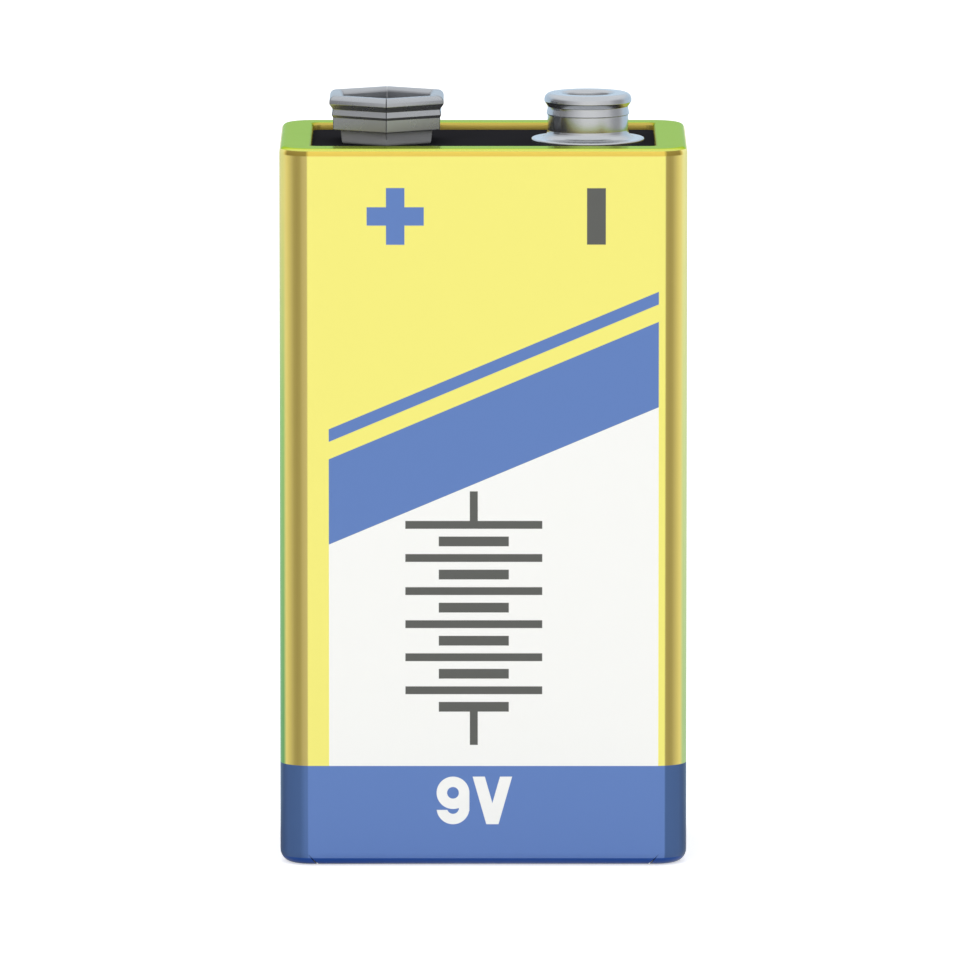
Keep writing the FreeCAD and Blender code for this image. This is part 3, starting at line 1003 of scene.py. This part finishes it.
makeStud()
makeRivet("studRivet", "stud_rivet", studMiddle)
makeRivet("crownRivet", "crown_rivet", crownMiddle)
makeCrown()
print("snaps made")


# the CAD pieces that keep their own shape
carried = {
    "terminal_board": "board",
    "base_plate": "basePlate",
    "top_insulator": "card",
    "bottom_insulator": "card",
    "inner_wrap": "wrap",
}


def dressNodes():
    for name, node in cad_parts.items():
        finish = carried.get(name)
        if name.startswith("cell"):
            finish = "cellCan"
        elif "strap" in name or "tab" in name.split("_"):
            finish = "nickelStrip"
        if finish:
            node.data.materials.clear()
            node.data.materials.append(finishes[finish])


dressNodes()
print("carried pieces dressed")


light = {
    "sky": 0.74,              # strength of the soft light from all round
    # what polished metal sees: the room from left to right, the backdrop behind and the ceiling
    "room": [
        (0.00, (0.30, 0.30, 0.31)),
        (0.04, (0.32, 0.32, 0.33)),
        (0.07, (0.48, 0.48, 0.49)),
        (0.20, (0.75, 0.75, 0.76)),
        (0.40, (1.00, 1.00, 1.00)),
        (0.65, (1.00, 1.00, 1.00)),
        (0.93, (0.80, 0.80, 0.81)),
        (1.00, (0.45, 0.46, 0.48)),
    ],
    "backdrop": (0.66, 0.82, 0.97),
    "backdropEdge": (0.42, 0.35),    # middle and width of its soft edge, as the sine of the direction
    "ceiling": (0.94, 0.97, 1.0),
    "ceilingEdge": (0.42, 0.4),
    "floorGlow": 0.55,
    "floorSize": 4000,        # half its width
    "floorDrop": 0.02,        # just under the foot, so that the two share no plane
    "aimHeight": 24,
    "lamps": {                # place, size and power
        "key": ((-260, -420, 380), 300, 0.6),
        "fill": ((320, -380, 240), 300, 0.35),
        "top": ((0, 60, 520), 300, 0.45),
    },
}


def roomSeen(tree, x, y, z):
    length = (x * x + y * y).root().most(0.0001)
    colour = ramp(tree, x / length * 0.5 + 0.5, light["room"])
    colour = mixed(tree, above(y / length, *light["backdropEdge"]), colour, light["backdrop"])
    return mixed(tree, above(z, *light["ceilingEdge"]), colour, light["ceiling"])


def raysOf(tree):
    # first 1 where the camera looks, straight or through something clear, then 1 where polished metal does
    path = addNode(tree, "ShaderNodeLightPath").outputs
    rays = ("Camera", "Transmission", "Glossy")
    straight, through, glossy = (Flow(tree, path[f"Is {ray} Ray"]) for ray in rays)
    return straight.most(through), glossy


def addStage():
    floor = Finish("floor")
    tree = floor.tree
    seen, glossy = raysOf(tree)
    pale = floor.surface(Base_Color=(0.8, 0.8, 0.8), Roughness=0.9, Specular_IOR_Level=0.0)
    glow = addNode(tree, "ShaderNodeEmission", Strength=light["floorGlow"])
    both = addNode(tree, "ShaderNodeAddShader", floor.shader.outputs[0], glow.outputs[0])
    room = addNode(tree, "ShaderNodeEmission", Color=roomSeen(tree, *floor.millimetres()))
    choice = floor.shader
    for factor, shader in ((seen, both), (glossy, room)):
        choice = addNode(tree, "ShaderNodeMixShader", factor, choice.outputs[0], shader.outputs[0])
    feed(tree, tree.nodes["Material Output"].inputs[0], choice.outputs[0])
    size, drop = light["floorSize"], light["floorDrop"]
    corners = [(-size, -size, -drop), (size, -size, -drop), (size, size, -drop), (-size, size, -drop)]
    obj = addObject("floor", plainMesh("floor", corners, [(0, 1, 2, 3)]), pale)


def addLight():
    world = bpy.data.worlds.new("world")
    bpy.context.scene.world = world
    world.use_nodes = True
    tree = world.node_tree
    seen, glossy = raysOf(tree)
    direction = addNode(tree, "ShaderNodeTexCoord").outputs["Generated"]
    split = addNode(tree, "ShaderNodeSeparateXYZ", direction)
    room = roomSeen(tree, *(Flow(tree, output) for output in split.outputs))
    sky = light["sky"]
    colour = mixed(tree, glossy, (sky, sky, sky), room)
    feed(tree, tree.nodes["Background"].inputs["Color"], mixed(tree, seen, colour, (1, 1, 1)))
    for name, (place, size, power) in light["lamps"].items():
        data = bpy.data.lights.new(name, "AREA")
        data.size = size * mm
        data.energy = power
        lamp = bpy.data.objects.new(name, data)
        bpy.context.collection.objects.link(lamp)
        lamp.location = Vector(place) * mm
        lamp.visible_glossy = False              # polished metal mirrors the room instead
        aim = Vector((0, 0, light["aimHeight"])) * mm - lamp.location
        lamp.rotation_euler = aim.to_track_quat("-Z", "Y").to_euler()


addStage()
addLight()
bpy.context.scene.view_settings.view_transform = "Standard"
print("stage and light set")
